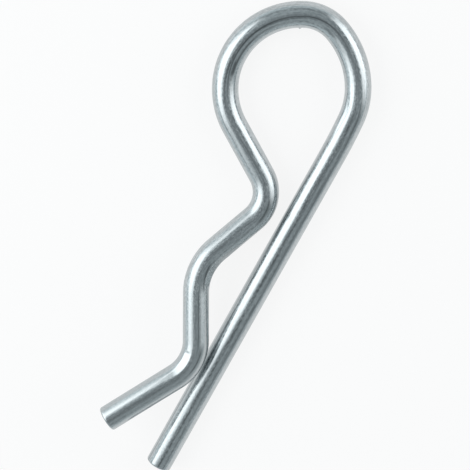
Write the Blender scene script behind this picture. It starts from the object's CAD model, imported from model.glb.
from math import asin, ceil, cos, pi, radians, sin, sqrt

import bpy
from mathutils import Matrix, Quaternion, Vector


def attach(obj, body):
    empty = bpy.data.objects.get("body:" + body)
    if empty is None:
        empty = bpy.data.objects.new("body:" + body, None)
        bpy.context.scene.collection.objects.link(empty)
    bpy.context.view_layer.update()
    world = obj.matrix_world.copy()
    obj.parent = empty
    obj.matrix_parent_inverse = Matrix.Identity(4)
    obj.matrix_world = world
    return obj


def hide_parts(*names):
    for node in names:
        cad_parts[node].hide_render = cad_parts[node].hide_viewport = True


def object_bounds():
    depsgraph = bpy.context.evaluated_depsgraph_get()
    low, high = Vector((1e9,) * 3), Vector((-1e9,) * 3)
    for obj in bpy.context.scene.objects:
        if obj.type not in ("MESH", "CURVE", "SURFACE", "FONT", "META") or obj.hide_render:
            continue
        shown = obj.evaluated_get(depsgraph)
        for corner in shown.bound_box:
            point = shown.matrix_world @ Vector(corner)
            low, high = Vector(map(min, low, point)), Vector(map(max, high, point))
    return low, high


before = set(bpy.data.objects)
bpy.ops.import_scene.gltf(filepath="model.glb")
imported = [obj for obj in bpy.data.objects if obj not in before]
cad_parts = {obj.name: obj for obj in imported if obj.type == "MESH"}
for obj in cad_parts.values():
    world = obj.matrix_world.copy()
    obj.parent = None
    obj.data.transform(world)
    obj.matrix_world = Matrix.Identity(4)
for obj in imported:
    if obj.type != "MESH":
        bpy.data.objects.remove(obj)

# A hitch R clip pin: one spring wire, bent cold and zinc plated, that lies on a pale studio floor.
# Lengths are in metres and angles in radians. X runs along the straight leg towards the bow, and Z is up.

cad_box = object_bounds()
MM = 0.001

# ---- Sizes of the clip ----------------------------------------------------------------------------------

# Round wire, and the radius that softens the edge of each cut end
WIRE_D = 4 * MM
WIRE_R = WIRE_D / 2
END_ROUND = 0.3 * MM

# Straight leg, and the slow curve that leads it into the bow. Radii are those of the inside of a bend
LEG_L = 57 * MM
LEADIN_R, LEADIN_A = 88 * MM, radians(4)

# Bow: heel, flatter side and tight crown. Its long back has the heel's radius
BOW_R, HEEL_A = 9.6 * MM, radians(27)
SIDE_R, SIDE_A = 11.4 * MM, radians(38)
CROWN_R, CROWN_A = 4.6 * MM, radians(47)

# Spring leg: neck, waist, ramp, seat round the shaft, fall, nose and tail
NECK_A = radians(57)
WAIST_GAP, WAIST_R = 1.4 * MM, 3.4 * MM
RAMP_A = radians(21)
SEAT_R = 7 * MM
FALL_A = radians(28)
NOSE_R, NOSE_GAP, NOSE_ROUND_A = 4.8 * MM, 0.6 * MM, radians(40)
TAIL_L, TAIL_A = 12.7 * MM, radians(29)

# ---- Finish of the wire ---------------------------------------------------------------------------------

# Mesh: distance between rings, sides of the section, and rings in each softened edge
RING_STEP = 0.22 * MM
SECTION_SIDES = 96
EDGE_RINGS = 6

# Flats that the bending pins pressed into the inside of the bow, the seat and the nose. Places are distances
# along the wire from the straight leg's cut end, and the angle is from the wire's top towards its left side
BOW_PRESS = {
    "From": 62.5 * MM, "Fade In": 3 * MM, "To": 65.5 * MM, "Fade Out": 3 * MM,
    "Round Angle": radians(35), "Depth": 0.04 * MM,
}
SEAT_PRESS = {
    "From": 130 * MM, "Fade In": 3 * MM, "To": 136.5 * MM, "Fade Out": 1 * MM,
    "Round Angle": radians(58), "Depth": 0.12 * MM,
}
NOSE_PRESS = {
    "From": 147.9 * MM, "Fade In": 0.4 * MM, "To": 149 * MM, "Fade Out": 9 * MM,
    "Round Angle": radians(-25), "Depth": 0.08 * MM,
}

# A nodule of plate inside the crown
NODULE = {"At": 83.9 * MM, "Round Angle": radians(82), "Radius": 0.35 * MM, "Height": 0.16 * MM}

# Deep die lines and scratches in the plate, as (from, to, fade to each side of these ends, angle at from,
# angle at to, half width, darkness). They are measured as above, but in millimetres and degrees
DIE_LINES = [
    (16, 59, 6, -33, -33, 0.22, 0.6),
    (-5, 58, 5, 59, 59, 0.2, 0.6),
    (45.3, 46.4, 0.5, 36, 38, 0.2, 0.8),
    (47.5, 54, 1.5, 0, 5, 0.2, 0.5),
    (59, 66.5, 1.5, -31, -25, 0.15, 0.6),
    (60.5, 66, 0.8, 35, 22, 0.12, 0.45),
    (77, 79.3, 0.7, 17, 16, 0.3, 0.8),
    (77, 101, 4, -8, 18, 0.16, 0.9),
    (91.5, 97.5, 1, 29, 32, 0.2, 0.9),
    (96.5, 99, 0.6, 28, 28, 0.4, 1),
    (111, 119, 2, 54, 66, 0.1, 0.5),
    (119.5, 123.1, 0.7, 25, 22, 0.25, 1),
    (133, 137.7, 0.7, 24, 43, 0.24, 1),
    (138, 146.5, 1.5, 19, 20, 0.15, 0.8),
    (147, 150.5, 0.8, 36, 28, 0.2, 0.8),
]
LINE_COLOUR = "#707678"
# Share of such a line's half width that is fully dark
LINE_CORE = 0.25

# Fine marks, as (width, length along the wire, levels of detail) in millimetres: the dashes of fine die
# lines, drawn wider than real to show at all, and the grain of the plate
DASHES = (0.25, 4, 2)
GRAIN = (0.25, 0.5, 1)

# The levels of both marks together between which the plate goes from its dark to its pale look
MARK_LEVELS = (0.75, 1.25)
PLATE_DARK, PLATE_PALE = "#aab0b2", "#c5cbcd"
DARK_ROUGHNESS, PALE_ROUGHNESS = 0.08, 0.25

# The levels of the grain between which it lets a deep line show, and the share of the line that always shows
GRAIN_LEVELS = (0.3, 0.7)
LINE_LEFT = 0.5

# What changes along the wire, as (from, to, what it reaches), with its places in millimetres. The fine marks
# fade by a share towards the tail, and the bending pins rubbed the spring leg, which adds to its roughness
EVENED = (138, 148, 0.5)
RUBBED = (105, 125, 0.04)

# ---- Sizes and levels of the studio ---------------------------------------------------------------------

# The point that the lamps face, the side of the square floor, and how much of its look is plain white
STUDIO_CENTRE = Vector((6 * MM, 7 * MM, 0))
FLOOR_SIDE = 3
PLAIN_WHITE = 0.85

# The room's greys, from the horizon at 0 to straight overhead at 1
ROOM_GREYS = [
    (0, "#d4dee2"), (0.15, "#d0dadd"), (0.3, "#d0dadd"), (0.45, "#a6adb0"), (0.6, "#9ba2a4"),
    (0.75, "#bfc8cb"), (0.87, "#a0a8ab"), (0.95, "#acb4b7"), (1, "#8a9093"),
]
# The room is paler towards this side, by a share that is the vector's length, and as much darker opposite
ROOM_PALER = (-0.12, 0.275, 0)

# A dark stand overhead: the direction of its middle, the angles from it between which its edge fades, and
# its brightness as a share of the room's
STAND_AT = (-0.295, -0.175, 0.939)
STAND_INNER, STAND_OUTER = radians(8), radians(11)
STAND_SHADE = 0.5


# ---- Centreline -----------------------------------------------------------------------------------------

def bending_steps():
    """The x of the cut end, and the wire in the order in which it is bent, as (straight fed, roll, inside
    radius, angle). A positive angle bends it towards +Y at the start."""
    back_a = pi + NECK_A - LEADIN_A - HEEL_A - SIDE_A - CROWN_A
    bow = [(LEADIN_R, LEADIN_A), (BOW_R, HEEL_A), (SIDE_R, SIDE_A), (CROWN_R, CROWN_A), (BOW_R, back_a)]
    bow_x, bow_y, heading = 0, 0, 0
    for radius, angle in bow:
        bow_x += (radius + WIRE_R) * (sin(heading + angle) - sin(heading))
        bow_y += (radius + WIRE_R) * (cos(heading) - cos(heading + angle))
        heading += angle

    # The spring leg as it would lie flat: the seat is an arc about the origin, with tangents on both sides
    waist_r, seat_r, nose_r = WAIST_R + WIRE_R, SEAT_R + WIRE_R, NOSE_R + WIRE_R
    waist_y = WIRE_D + WAIST_GAP
    neck_end_y = waist_y + waist_r * (1 - cos(NECK_A))
    neck_l = (bow_y - neck_end_y) / sin(NECK_A)
    ramp_l = (seat_r * cos(RAMP_A) - waist_y - waist_r * (1 - cos(RAMP_A))) / sin(RAMP_A)
    waist_x = (seat_r + waist_r) * sin(RAMP_A) + ramp_l * cos(RAMP_A)
    neck_end = Vector((waist_x + waist_r * sin(NECK_A), neck_end_y))
    heel_x = neck_end.x + neck_l * cos(NECK_A) - bow_x

    def fall_l(nose_y):
        return (seat_r * cos(FALL_A) - nose_y - nose_r * (1 - cos(FALL_A))) / sin(FALL_A)

    def off_neck(nose_y):
        nose_x = -(seat_r + nose_r) * sin(FALL_A) - fall_l(nose_y) * cos(FALL_A)
        return (Vector((nose_x, nose_y)) - neck_end).dot(Vector((-sin(NECK_A), cos(NECK_A))))

    # It is then rolled about its neck, until the nose stands over the side of the straight leg
    across = (WIRE_D + NOSE_GAP) * cos(NOSE_ROUND_A)
    rise = (WIRE_D + NOSE_GAP) * sin(NOSE_ROUND_A)
    reach = off_neck(across)
    nose_y = across + (reach - sqrt(reach ** 2 - rise ** 2)) * cos(NECK_A)
    lift_a = asin(rise / off_neck(nose_y))

    steps = [(0, 0, radius, angle) for radius, angle in bow]
    steps[0] = (LEG_L, 0, LEADIN_R, LEADIN_A)
    steps += [
        (neck_l, -lift_a, WAIST_R, -(NECK_A + RAMP_A)),
        (ramp_l, 0, SEAT_R, RAMP_A + FALL_A),
        (fall_l(nose_y), 0, NOSE_R, -(FALL_A + TAIL_A)),
        (TAIL_L, 0, 0, 0),
    ]
    return heel_x - LEG_L, steps


def centreline(start_x, steps, span_a=radians(30)):
    """A Bezier curve along the wire's axis, with each bend cut into equal spans of at most span_a."""
    point, ahead, left = Vector((start_x, 0, 0)), Vector((1, 0, 0)), Vector((0, 1, 0))
    knots = [[point, point, point]]
    for fed, roll, radius, angle in steps:
        if fed:
            knots[-1][2] = point + ahead * fed / 3
            point = point + ahead * fed
            knots.append([point, point - ahead * fed / 3, point])
        left = Quaternion(ahead, roll) @ left
        spans = ceil(abs(angle) / span_a)
        for _ in range(spans):
            turned = abs(angle) / spans
            inward = left if angle > 0 else -left
            axis_r = radius + WIRE_R
            handle_l = 4 / 3 * sin(turned / 4) / cos(turned / 4) * axis_r
            centre = point + inward * axis_r
            knots[-1][2] = point + ahead * handle_l
            turn = Quaternion(ahead.cross(inward), turned)
            ahead, left = turn @ ahead, turn @ left
            point = centre + turn @ (point - centre)
            knots.append([point, point - ahead * handle_l, point])

    curve = bpy.data.curves.new("wire_axis", "CURVE")
    curve.dimensions = "3D"
    curve.resolution_u = 64
    spline = curve.splines.new("BEZIER")
    spline.bezier_points.add(len(knots) - 1)
    for knot, (at, before, after) in zip(spline.bezier_points, knots):
        knot.handle_left_type = knot.handle_right_type = "FREE"
        knot.co, knot.handle_left, knot.handle_right = at, before, after
    return bpy.data.objects.new("wire_axis", curve)


# ---- Nodes ----------------------------------------------------------------------------------------------

def add(tree, kind, inputs=None, **settings):
    """Adds a node. settings are its properties, and inputs maps a socket's name or number to the socket that
    feeds it or to its value."""
    made = tree.nodes.new(kind)
    for name, value in settings.items():
        setattr(made, name, value)
    for key, value in (inputs or {}).items():
        if isinstance(value, bpy.types.NodeSocket):
            tree.links.new(value, made.inputs[key])
        else:
            made.inputs[key].default_value = value
    return made


def linear(hex_colour):
    """An sRGB colour such as "#8090a0" as linear RGBA."""
    channels = [int(hex_colour[i:i + 2], 16) / 255 for i in (1, 3, 5)]
    return [c / 12.92 if c <= 0.04045 else ((c + 0.055) / 1.055) ** 2.4 for c in channels] + [1]


# ---- The wire's surface as Geometry Nodes ---------------------------------------------------------------

def mark_tree(name, *sizes):
    """A group that marks the wire, with its inputs named, and one of its nodes that turns Round Angle into a
    direction square to the wire."""
    tree = bpy.data.node_groups.new(name, "GeometryNodeTree")
    face = tree.interface
    face.new_socket("Wire", in_out="INPUT", socket_type="NodeSocketGeometry")
    for vector in ("Across", "Up", "Out"):
        face.new_socket(vector, in_out="INPUT", socket_type="NodeSocketVector")
    for size in ("Along", "Wire Radius", "Round Angle", *sizes):
        face.new_socket(size, in_out="INPUT", socket_type="NodeSocketFloat")
    face.new_socket("Wire", in_out="OUTPUT", socket_type="NodeSocketGeometry")
    given = add(tree, "NodeGroupInput").outputs
    across_share, up_share = (
        add(tree, "ShaderNodeMath", {0: given["Round Angle"]}, operation=operation).outputs[0]
        for operation in ("SINE", "COSINE")
    )
    across, up = (
        add(tree, "ShaderNodeVectorMath", {0: given[vector], "Scale": share}, operation="SCALE").outputs[0]
        for vector, share in (("Across", across_share), ("Up", up_share))
    )
    towards = add(tree, "ShaderNodeVectorMath", {0: across, 1: up}).outputs[0]
    return tree, given, towards


def flat_press_tree():
    """Presses a flat into the wire's side between two distances along it, fading beyond each of them."""
    tree, given, towards = mark_tree("flat_press", "From", "Fade In", "To", "Fade Out", "Depth")
    starts_at = add(tree, "ShaderNodeMath", {
        0: given["From"],
        1: given["Fade In"],
    }, operation="SUBTRACT").outputs[0]
    ends_at = add(tree, "ShaderNodeMath", {0: given["To"], 1: given["Fade Out"]}).outputs[0]
    rise = add(tree, "ShaderNodeMapRange", {
        "Value": given["Along"],
        "From Min": starts_at,
        "From Max": given["From"],
    }, interpolation_type="SMOOTHSTEP").outputs[0]
    fall = add(tree, "ShaderNodeMapRange", {
        "Value": given["Along"],
        "From Min": ends_at,
        "From Max": given["To"],
    }, interpolation_type="SMOOTHSTEP").outputs[0]
    pressed = add(tree, "ShaderNodeMath", {0: rise, 1: fall}, operation="MULTIPLY").outputs[0]
    depth = add(tree, "ShaderNodeMath", {0: pressed, 1: given["Depth"]}, operation="MULTIPLY").outputs[0]
    flat_at = add(tree, "ShaderNodeMath", {
        0: given["Wire Radius"],
        1: depth,
    }, operation="SUBTRACT").outputs[0]
    reach = add(tree, "ShaderNodeVectorMath", {
        0: given["Out"],
        1: towards,
    }, operation="DOT_PRODUCT").outputs["Value"]
    over = add(tree, "ShaderNodeMath", {0: flat_at, 1: reach}, operation="SUBTRACT").outputs[0]
    over = add(tree, "ShaderNodeMath", {0: over, 1: 0}, operation="MINIMUM").outputs[0]
    offset = add(tree, "ShaderNodeVectorMath", {0: towards, "Scale": over}, operation="SCALE").outputs[0]
    pressed = add(tree, "GeometryNodeSetPosition", {"Geometry": given["Wire"], "Offset": offset}).outputs[0]
    add(tree, "NodeGroupOutput", {0: pressed})
    return tree


def nodule_tree():
    """Raises a small rounded nodule on the wire's side."""
    tree, given, towards = mark_tree("plate_nodule", "At", "Radius", "Height")
    top = add(tree, "ShaderNodeVectorMath", {
        0: towards,
        "Scale": given["Wire Radius"],
    }, operation="SCALE").outputs[0]
    aside = add(tree, "ShaderNodeVectorMath", {
        0: given["Out"],
        1: top,
    }, operation="DISTANCE").outputs["Value"]
    ahead = add(tree, "ShaderNodeMath", {0: given["Along"], 1: given["At"]}, operation="SUBTRACT").outputs[0]
    apart = add(tree, "ShaderNodeCombineXYZ", {0: aside, 1: ahead}).outputs[0]
    apart = add(tree, "ShaderNodeVectorMath", {0: apart}, operation="LENGTH").outputs["Value"]
    height = add(tree, "ShaderNodeMapRange", {
        "Value": apart,
        "From Min": given["Radius"],
        "From Max": 0,
        "To Max": given["Height"],
    }, interpolation_type="SMOOTHSTEP").outputs[0]
    offset = add(tree, "ShaderNodeVectorMath", {0: towards, "Scale": height}, operation="SCALE").outputs[0]
    raised = add(tree, "GeometryNodeSetPosition", {"Geometry": given["Wire"], "Offset": offset}).outputs[0]
    add(tree, "NodeGroupOutput", {0: raised})
    return tree


def wire_tree():
    """Sweeps a round section along a curve. Rings are evenly spaced, apart from those that round the edge of
    each cut end, which close up on it."""
    tree = bpy.data.node_groups.new("drawn_wire", "GeometryNodeTree")
    face = tree.interface
    face.new_socket("Axis", in_out="INPUT", socket_type="NodeSocketGeometry")
    for name, kind in (
        ("Wire Radius", "NodeSocketFloat"),
        ("End Rounding", "NodeSocketFloat"),
        ("Ring Step", "NodeSocketFloat"),
        ("Edge Rings", "NodeSocketInt"),
        ("Sides", "NodeSocketInt"),
        ("Finish", "NodeSocketMaterial"),
    ):
        face.new_socket(name, in_out="INPUT", socket_type=kind)
    face.new_socket("Wire", in_out="OUTPUT", socket_type="NodeSocketGeometry")
    given = add(tree, "NodeGroupInput").outputs

    # Each ring's place along the wire and its size, in steps of arithmetic that go by name. Rings count from
    # the nearer end: first round the softened edge, and then in even steps to the middle of the wire
    found = {name: given[name] for name in ("Wire Radius", "End Rounding", "Ring Step", "Edge Rings")}
    found["length"] = add(tree, "GeometryNodeCurveLength", {0: given["Axis"]}).outputs[0]
    found["ring"] = add(tree, "GeometryNodeInputIndex").outputs[0]
    for name, operation, *terms in (
        ("half_l", "MULTIPLY", "length", 0.5),
        ("even_l", "SUBTRACT", "half_l", "End Rounding"),
        ("steps", "DIVIDE", "half_l", "Ring Step"),
        ("even_rings", "CEIL", "steps"),
        ("half_rings", "ADD", "even_rings", "Edge Rings"),
        ("rings", "MULTIPLY", "half_rings", 2),
        ("last", "SUBTRACT", "rings", 1),
        ("to_last", "SUBTRACT", "last", "ring"),
        ("from_end", "MINIMUM", "ring", "to_last"),
        ("edge_share", "DIVIDE", "from_end", "Edge Rings"),
        ("edge_share", "MINIMUM", "edge_share", 1),
        ("edge_a", "MULTIPLY", "edge_share", pi / 2),
        ("cosine", "COSINE", "edge_a"),
        ("edge_l", "SUBTRACT", 1, "cosine"),
        ("edge_l", "MULTIPLY", "End Rounding", "edge_l"),
        ("even_steps", "SUBTRACT", "even_rings", 0.5),
        ("even_step", "DIVIDE", "even_l", "even_steps"),
        ("stepped", "SUBTRACT", "from_end", "Edge Rings"),
        ("stepped", "MAXIMUM", "stepped", 0),
        ("stepped_l", "MULTIPLY", "stepped", "even_step"),
        ("from_end_l", "ADD", "edge_l", "stepped_l"),
        ("to_far_end_l", "SUBTRACT", "length", "from_end_l"),
        ("twice", "MULTIPLY", "ring", 2),
        ("far_half", "GREATER_THAN", "twice", "last"),
        ("sine", "SINE", "edge_a"),
        ("edge_in", "SUBTRACT", 1, "sine"),
        ("edge_in", "MULTIPLY", "End Rounding", "edge_in"),
        ("edge_in_share", "DIVIDE", "edge_in", "Wire Radius"),
        ("ring_scale", "SUBTRACT", 1, "edge_in_share"),
    ):
        values = {place: found.get(term, term) for place, term in enumerate(terms)}
        found[name] = add(tree, "ShaderNodeMath", values, operation=operation).outputs[0]
    along = add(tree, "GeometryNodeSwitch", {
        "Switch": found["far_half"],
        "False": found["from_end_l"],
        "True": found["to_far_end_l"],
    }, input_type="FLOAT").outputs[0]

    # The rings' axis, which keeps each place, heading and distance along the wire
    on_axis = add(tree, "GeometryNodeSampleCurve", {
        "Curves": given["Axis"],
        "Length": along,
    }, mode="LENGTH").outputs
    line = add(tree, "GeometryNodeCurvePrimitiveLine").outputs[0]
    axis = add(tree, "GeometryNodeResampleCurve", {"Curve": line, "Count": found["rings"]}).outputs[0]
    kept = {}
    for name, kind, value in (
        ("ring_scale", "FLOAT", found["ring_scale"]),
        ("along", "FLOAT", along),
        ("centre", "FLOAT_VECTOR", on_axis["Position"]),
        ("drawn_along", "FLOAT_VECTOR", on_axis["Tangent"]),
    ):
        axis = add(tree, "GeometryNodeStoreNamedAttribute", {
            "Geometry": axis,
            "Name": name,
            "Value": value,
        }, data_type=kind).outputs[0]
        kept[name] = add(tree, "GeometryNodeInputNamedAttribute", {"Name": name}, data_type=kind).outputs[0]
    centre, heading, along = kept["centre"], kept["drawn_along"], kept["along"]
    axis = add(tree, "GeometryNodeSetPosition", {"Geometry": axis, "Position": centre}).outputs[0]

    section = add(tree, "GeometryNodeCurvePrimitiveCircle", {
        "Resolution": given["Sides"],
        "Radius": given["Wire Radius"],
    }).outputs[0]
    wire = add(tree, "GeometryNodeCurveToMesh", {
        "Curve": axis,
        "Profile Curve": section,
        "Scale": kept["ring_scale"],
        "Fill Caps": True,
    }).outputs[0]

    # Across and up are square to the wire's heading, and out runs from its axis to the point
    across = add(tree, "ShaderNodeVectorMath", {
        0: (0, 0, 1),
        1: heading,
    }, operation="CROSS_PRODUCT").outputs[0]
    across = add(tree, "ShaderNodeVectorMath", {0: across}, operation="NORMALIZE").outputs[0]
    upward = add(tree, "ShaderNodeVectorMath", {
        0: heading,
        1: across,
    }, operation="CROSS_PRODUCT").outputs[0]
    place = add(tree, "GeometryNodeInputPosition").outputs[0]
    out = add(tree, "ShaderNodeVectorMath", {0: place, 1: centre}, operation="SUBTRACT").outputs[0]
    frame_of_wire = {"Across": across, "Up": upward, "Out": out, "Along": along}

    flat_press = flat_press_tree()
    for mark, sizes in (
        (flat_press, BOW_PRESS), (flat_press, SEAT_PRESS), (flat_press, NOSE_PRESS), (nodule_tree(), NODULE),
    ):
        wire = add(tree, "GeometryNodeGroup", {
            "Wire": wire,
            "Wire Radius": given["Wire Radius"],
            **frame_of_wire,
            **sizes,
        }, node_tree=mark).outputs[0]

    # The place of each point on the straight wire before it was bent: across, up and along, in millimetres
    out_across, out_up = (
        add(tree, "ShaderNodeVectorMath", {0: out, 1: side}, operation="DOT_PRODUCT").outputs["Value"]
        for side in (across, upward)
    )
    unbent = add(tree, "ShaderNodeCombineXYZ", {0: out_across, 1: out_up, 2: along}).outputs[0]
    in_mm = add(tree, "ShaderNodeVectorMath", {0: unbent, "Scale": 1 / MM}, operation="SCALE").outputs[0]
    wire = add(tree, "GeometryNodeStoreNamedAttribute", {
        "Geometry": wire,
        "Name": "unbent",
        "Value": in_mm,
    }, data_type="FLOAT_VECTOR").outputs[0]

    for spare in ("ring_scale", "centre", "along"):
        wire = add(tree, "GeometryNodeRemoveAttribute", {"Geometry": wire, "Name": spare}).outputs[0]
    wire = add(tree, "GeometryNodeRealizeInstances", {"Geometry": wire}).outputs[0]
    wire = add(tree, "GeometryNodeSetMaterial", {"Geometry": wire, "Material": given["Finish"]}).outputs[0]
    add(tree, "NodeGroupOutput", {0: wire})
    return tree


def drawn_wire(name, axis, finish):
    """The finished wire as a plain mesh."""
    bpy.context.scene.collection.objects.link(axis)
    sweep = axis.modifiers.new("sweep", "NODES")
    sweep.node_group = wire_tree()
    sizes = {
        "Wire Radius": WIRE_R,
        "End Rounding": END_ROUND,
        "Ring Step": RING_STEP,
        "Edge Rings": EDGE_RINGS,
        "Sides": SECTION_SIDES,
        "Finish": finish,
    }
    for item in sweep.node_group.interface.items_tree:
        if item.name in sizes:
            sweep[item.identifier] = sizes[item.name]
    view = bpy.context.evaluated_depsgraph_get()
    mesh = bpy.data.meshes.new_from_object(axis.evaluated_get(view), depsgraph=view)
    bpy.data.objects.remove(axis)
    mesh.name = name
    mesh.shade_smooth()
    piece = bpy.data.objects.new(name, mesh)
    bpy.context.scene.collection.objects.link(piece)
    return piece


# ---- Materials ------------------------------------------------------------------------------------------

def bright_zinc():
    """Bright zinc plate on drawn spring steel: a cool grey mirror that the die's lengthwise lines blur
    across the wire far more than along it. Fine dashes and grain mottle it, and deep die lines show."""
    material = bpy.data.materials.new("bright_zinc_on_drawn_steel")
    material.use_nodes = True
    tree = material.node_tree
    tree.nodes.clear()
    unbent = add(tree, "ShaderNodeAttribute", attribute_name="unbent").outputs["Vector"]
    drawn_along = add(tree, "ShaderNodeAttribute", attribute_name="drawn_along").outputs["Vector"]
    place = add(tree, "ShaderNodeSeparateXYZ", {0: unbent}).outputs
    along = place["Z"]

    # The fine marks follow the wire as it was before it was bent
    dashes, grain = (
        add(tree, "ShaderNodeTexNoise", {
            "Vector": add(tree, "ShaderNodeMapping", {
                "Vector": unbent,
                "Scale": (1 / width, 1 / width, 1 / length),
            }).outputs[0],
            "Scale": 1,
            "Detail": detail,
        }).outputs["Fac"]
        for width, length, detail in (DASHES, GRAIN)
    )
    evened, rubbed = (
        add(tree, "ShaderNodeMapRange", {
            "Value": along,
            "From Min": start,
            "From Max": end,
            "To Max": reached,
        }).outputs[0]
        for start, end, reached in (EVENED, RUBBED)
    )

    # The plate's mottled colour and roughness
    mottle = add(tree, "ShaderNodeMath", {0: dashes, 1: grain}).outputs[0]
    mottle = add(tree, "ShaderNodeMapRange", {
        "Value": mottle,
        "From Min": MARK_LEVELS[0],
        "From Max": MARK_LEVELS[1],
    }).outputs[0]
    mottle = add(tree, "ShaderNodeMix", {"Factor": evened, "A": mottle, "B": 0.5}).outputs["Result"]
    plate = add(tree, "ShaderNodeMix", {
        "Factor": mottle,
        "A": linear(PLATE_DARK),
        "B": linear(PLATE_PALE),
    }, data_type="RGBA").outputs["Result"]
    dulled = add(tree, "ShaderNodeMapRange", {
        "Value": mottle,
        "To Min": DARK_ROUGHNESS,
        "To Max": PALE_ROUGHNESS,
    }).outputs[0]
    roughness = add(tree, "ShaderNodeMath", {0: dulled, 1: rubbed}).outputs[0]

    # Deep die lines, which the plate fills only in part. Each darkens the points that are near enough to it,
    # round the wire and along it
    round_a = add(tree, "ShaderNodeMath", {0: place["X"], 1: place["Y"]}, operation="ARCTAN2").outputs[0]
    depth = 0
    for start, end, fade, start_a, end_a, half_width, darkness in DIE_LINES:
        line_a = add(tree, "ShaderNodeMapRange", {
            "Value": along,
            "From Min": start,
            "From Max": end,
            "To Min": radians(start_a),
            "To Max": radians(end_a),
        }).outputs[0]
        half_l, half_a = (end - start) / 2, half_width * MM / WIRE_R
        share = darkness
        for at, middle, outer, inner in (
            (round_a, line_a, half_a, half_a * LINE_CORE),
            (along, (start + end) / 2, half_l + fade, half_l - fade),
        ):
            off = add(tree, "ShaderNodeMath", {0: at, 1: middle}, operation="SUBTRACT").outputs[0]
            off = add(tree, "ShaderNodeMath", {0: off}, operation="ABSOLUTE").outputs[0]
            near = add(tree, "ShaderNodeMapRange", {
                "Value": off,
                "From Min": outer,
                "From Max": inner,
            }, interpolation_type="SMOOTHSTEP").outputs[0]
            share = add(tree, "ShaderNodeMath", {0: near, 1: share}, operation="MULTIPLY").outputs[0]
        depth = add(tree, "ShaderNodeMath", {0: depth, 1: share}, operation="MAXIMUM").outputs[0]
    shown = add(tree, "ShaderNodeMapRange", {
        "Value": grain,
        "From Min": GRAIN_LEVELS[0],
        "From Max": GRAIN_LEVELS[1],
        "To Min": LINE_LEFT,
    }).outputs[0]
    depth = add(tree, "ShaderNodeMath", {0: depth, 1: shown}, operation="MULTIPLY").outputs[0]
    colour = add(tree, "ShaderNodeMix", {
        "Factor": depth,
        "A": plate,
        "B": linear(LINE_COLOUR),
    }, data_type="RGBA").outputs["Result"]

    shader = add(tree, "ShaderNodeBsdfPrincipled", {
        "Base Color": colour,
        "Roughness": roughness,
        "Metallic": 1,
        "Anisotropic": 0.8,
        "Anisotropic Rotation": 0.25,
        "Tangent": drawn_along,
    }).outputs[0]
    add(tree, "ShaderNodeOutputMaterial", {"Surface": shader})
    return material


def seamless_paper():
    """White seamless paper, matt. The camera and the wire see most of it as plain white, and the rest as it
    is lit, which keeps the clip's soft shadow."""
    material = bpy.data.materials.new("white_seamless_paper")
    material.use_nodes = True
    tree = material.node_tree
    tree.nodes.clear()
    rays = add(tree, "ShaderNodeLightPath").outputs
    seen = rays["Is Camera Ray"]
    for kind in ("Is Glossy Ray", "Is Transmission Ray"):
        seen = add(tree, "ShaderNodeMath", {0: seen, 1: rays[kind]}).outputs[0]
    white_share = add(tree, "ShaderNodeMath", {0: seen, 1: PLAIN_WHITE}, operation="MULTIPLY").outputs[0]
    paper = add(tree, "ShaderNodeBsdfPrincipled", {
        "Base Color": linear("#f8f9f9"),
        "Roughness": 0.9,
        "Specular IOR Level": 0.1,
    }).outputs[0]
    white = add(tree, "ShaderNodeEmission", {"Color": linear("#ffffff"), "Strength": 1}).outputs[0]
    shader = add(tree, "ShaderNodeMixShader", {0: white_share, 1: paper, 2: white}).outputs[0]
    add(tree, "ShaderNodeOutputMaterial", {"Surface": shader})
    return material


# ---- Studio ---------------------------------------------------------------------------------------------

def studio_floor(height):
    """A square of paper at this height."""
    mesh = bpy.data.meshes.new("studio_floor")
    half = FLOOR_SIDE / 2
    corners = [(-half, -half), (half, -half), (half, half), (-half, half)]
    mesh.from_pydata([(x, y, height) for x, y in corners], [], [(0, 1, 2, 3)])
    mesh.materials.append(seamless_paper())
    floor = bpy.data.objects.new("studio_floor", mesh)
    bpy.context.scene.collection.objects.link(floor)


def softbox(name, azimuth, elevation, turn, distance, width, height, fades, radiance):
    """A soft rectangular lamp that faces the clip, turned about its own middle. Azimuth is from +X towards
    +Y. Its middle has the given radiance, with 1 as white. It fades over a share of each half side, which
    fades gives for its width and its height."""
    lamp = bpy.data.lights.new(name, "AREA")
    lamp.shape = "RECTANGLE"
    lamp.size, lamp.size_y = width, height
    lamp.energy = radiance * pi * width * height
    lamp.use_nodes = True
    tree = lamp.node_tree
    tree.nodes.clear()
    cloth = add(tree, "ShaderNodeTexCoord").outputs["UV"]
    from_middle = add(tree, "ShaderNodeVectorMath", {
        0: cloth,
        1: (2, 2, 0),
        2: (-1, -1, 0),
    }, operation="MULTIPLY_ADD").outputs[0]
    from_middle = add(tree, "ShaderNodeVectorMath", {0: from_middle}, operation="ABSOLUTE").outputs[0]
    sides = add(tree, "ShaderNodeSeparateXYZ", {0: from_middle}).outputs
    across, up = (
        add(tree, "ShaderNodeMapRange", {
            "Value": side,
            "From Min": 1,
            "From Max": 1 - fade,
        }, interpolation_type="SMOOTHSTEP").outputs[0]
        for side, fade in zip(sides[:2], fades)
    )
    strength = add(tree, "ShaderNodeMath", {0: across, 1: up}, operation="MULTIPLY").outputs[0]
    glow = add(tree, "ShaderNodeEmission", {"Strength": strength}).outputs[0]
    add(tree, "ShaderNodeOutputLight", {"Surface": glow})

    towards = Vector((cos(azimuth) * cos(elevation), sin(azimuth) * cos(elevation), sin(elevation)))
    holder = bpy.data.objects.new(name, lamp)
    holder.location = STUDIO_CENTRE + towards * distance
    holder.rotation_euler = (towards.to_track_quat("Z", "Y") @ Quaternion((0, 0, 1), turn)).to_euler()
    holder.visible_camera = False
    bpy.context.scene.collection.objects.link(holder)


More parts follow.
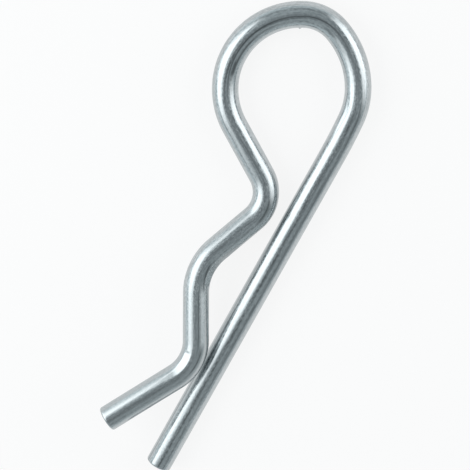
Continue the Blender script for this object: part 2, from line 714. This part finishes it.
def studio_room():
    """A grey room: pale low down, darker up its walls and darkest overhead, and paler on the spring leg's
    side. A dark stand hangs over the clip."""
    world = bpy.data.worlds.new("studio_room")
    bpy.context.scene.world = world
    world.use_nodes = True
    tree = world.node_tree
    tree.nodes.clear()
    direction = add(tree, "ShaderNodeTexCoord").outputs["Generated"]
    height = add(tree, "ShaderNodeSeparateXYZ", {0: direction}).outputs["Z"]
    ramp = add(tree, "ShaderNodeValToRGB", {0: height})
    for _ in ROOM_GREYS[2:]:
        ramp.color_ramp.elements.new(0.5)
    for stop, (position, colour) in zip(ramp.color_ramp.elements, ROOM_GREYS):
        stop.position = position
        stop.color = linear(colour)

    paler, near_stand = (
        add(tree, "ShaderNodeVectorMath", {0: direction, 1: side}, operation="DOT_PRODUCT").outputs["Value"]
        for side in (ROOM_PALER, STAND_AT)
    )
    strength = add(tree, "ShaderNodeMath", {0: paler, 1: 1}).outputs[0]
    past_stand = add(tree, "ShaderNodeMapRange", {
        "Value": near_stand,
        "From Min": cos(STAND_OUTER),
        "From Max": cos(STAND_INNER),
        "To Min": 1,
        "To Max": STAND_SHADE,
    }, interpolation_type="SMOOTHSTEP").outputs[0]
    strength = add(tree, "ShaderNodeMath", {0: strength, 1: past_stand}, operation="MULTIPLY").outputs[0]
    light = add(tree, "ShaderNodeBackground", {"Color": ramp.outputs[0], "Strength": strength}).outputs[0]
    add(tree, "ShaderNodeOutputWorld", {"Surface": light})


def studio_camera():
    """Looks down on the clip, and leans 16 degrees from upright towards the bow."""
    lean, roll, distance = radians(16), radians(-60.88), 380 * MM
    target = Vector((6.30 * MM, 6.97 * MM, 0))
    turn = Matrix.Rotation(lean, 4, "Y") @ Matrix.Rotation(roll, 4, "Z")
    data = bpy.data.cameras.new("studio_camera")
    data.sensor_width = 36
    data.lens = 190.8
    data.clip_start, data.clip_end = 0.01, 10
    camera = bpy.data.objects.new("studio_camera", data)
    camera.matrix_world = Matrix.Translation(target) @ turn @ Matrix.Translation((0, 0, distance))
    bpy.context.scene.collection.objects.link(camera)
    bpy.context.scene.camera = camera


# ---- The scene ------------------------------------------------------------------------------------------

clip = drawn_wire("plated_wire", centreline(*bending_steps()), bright_zinc())
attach(clip, "root")
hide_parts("clip")

studio_floor(cad_box[0].z)
studio_room()
softbox(
    "left_softbox", azimuth=radians(107), elevation=radians(42), turn=radians(28), distance=0.2,
    width=0.35, height=0.18, fades=(0.81, 0.28), radiance=1.82,
)
softbox(
    "right_softbox", azimuth=radians(-41.2), elevation=radians(24.2), turn=radians(-4.4), distance=0.284,
    width=0.535, height=0.217, fades=(0.92, 0.1), radiance=1.85,
)
studio_camera()
bpy.context.scene.view_settings.view_transform = "Standard"
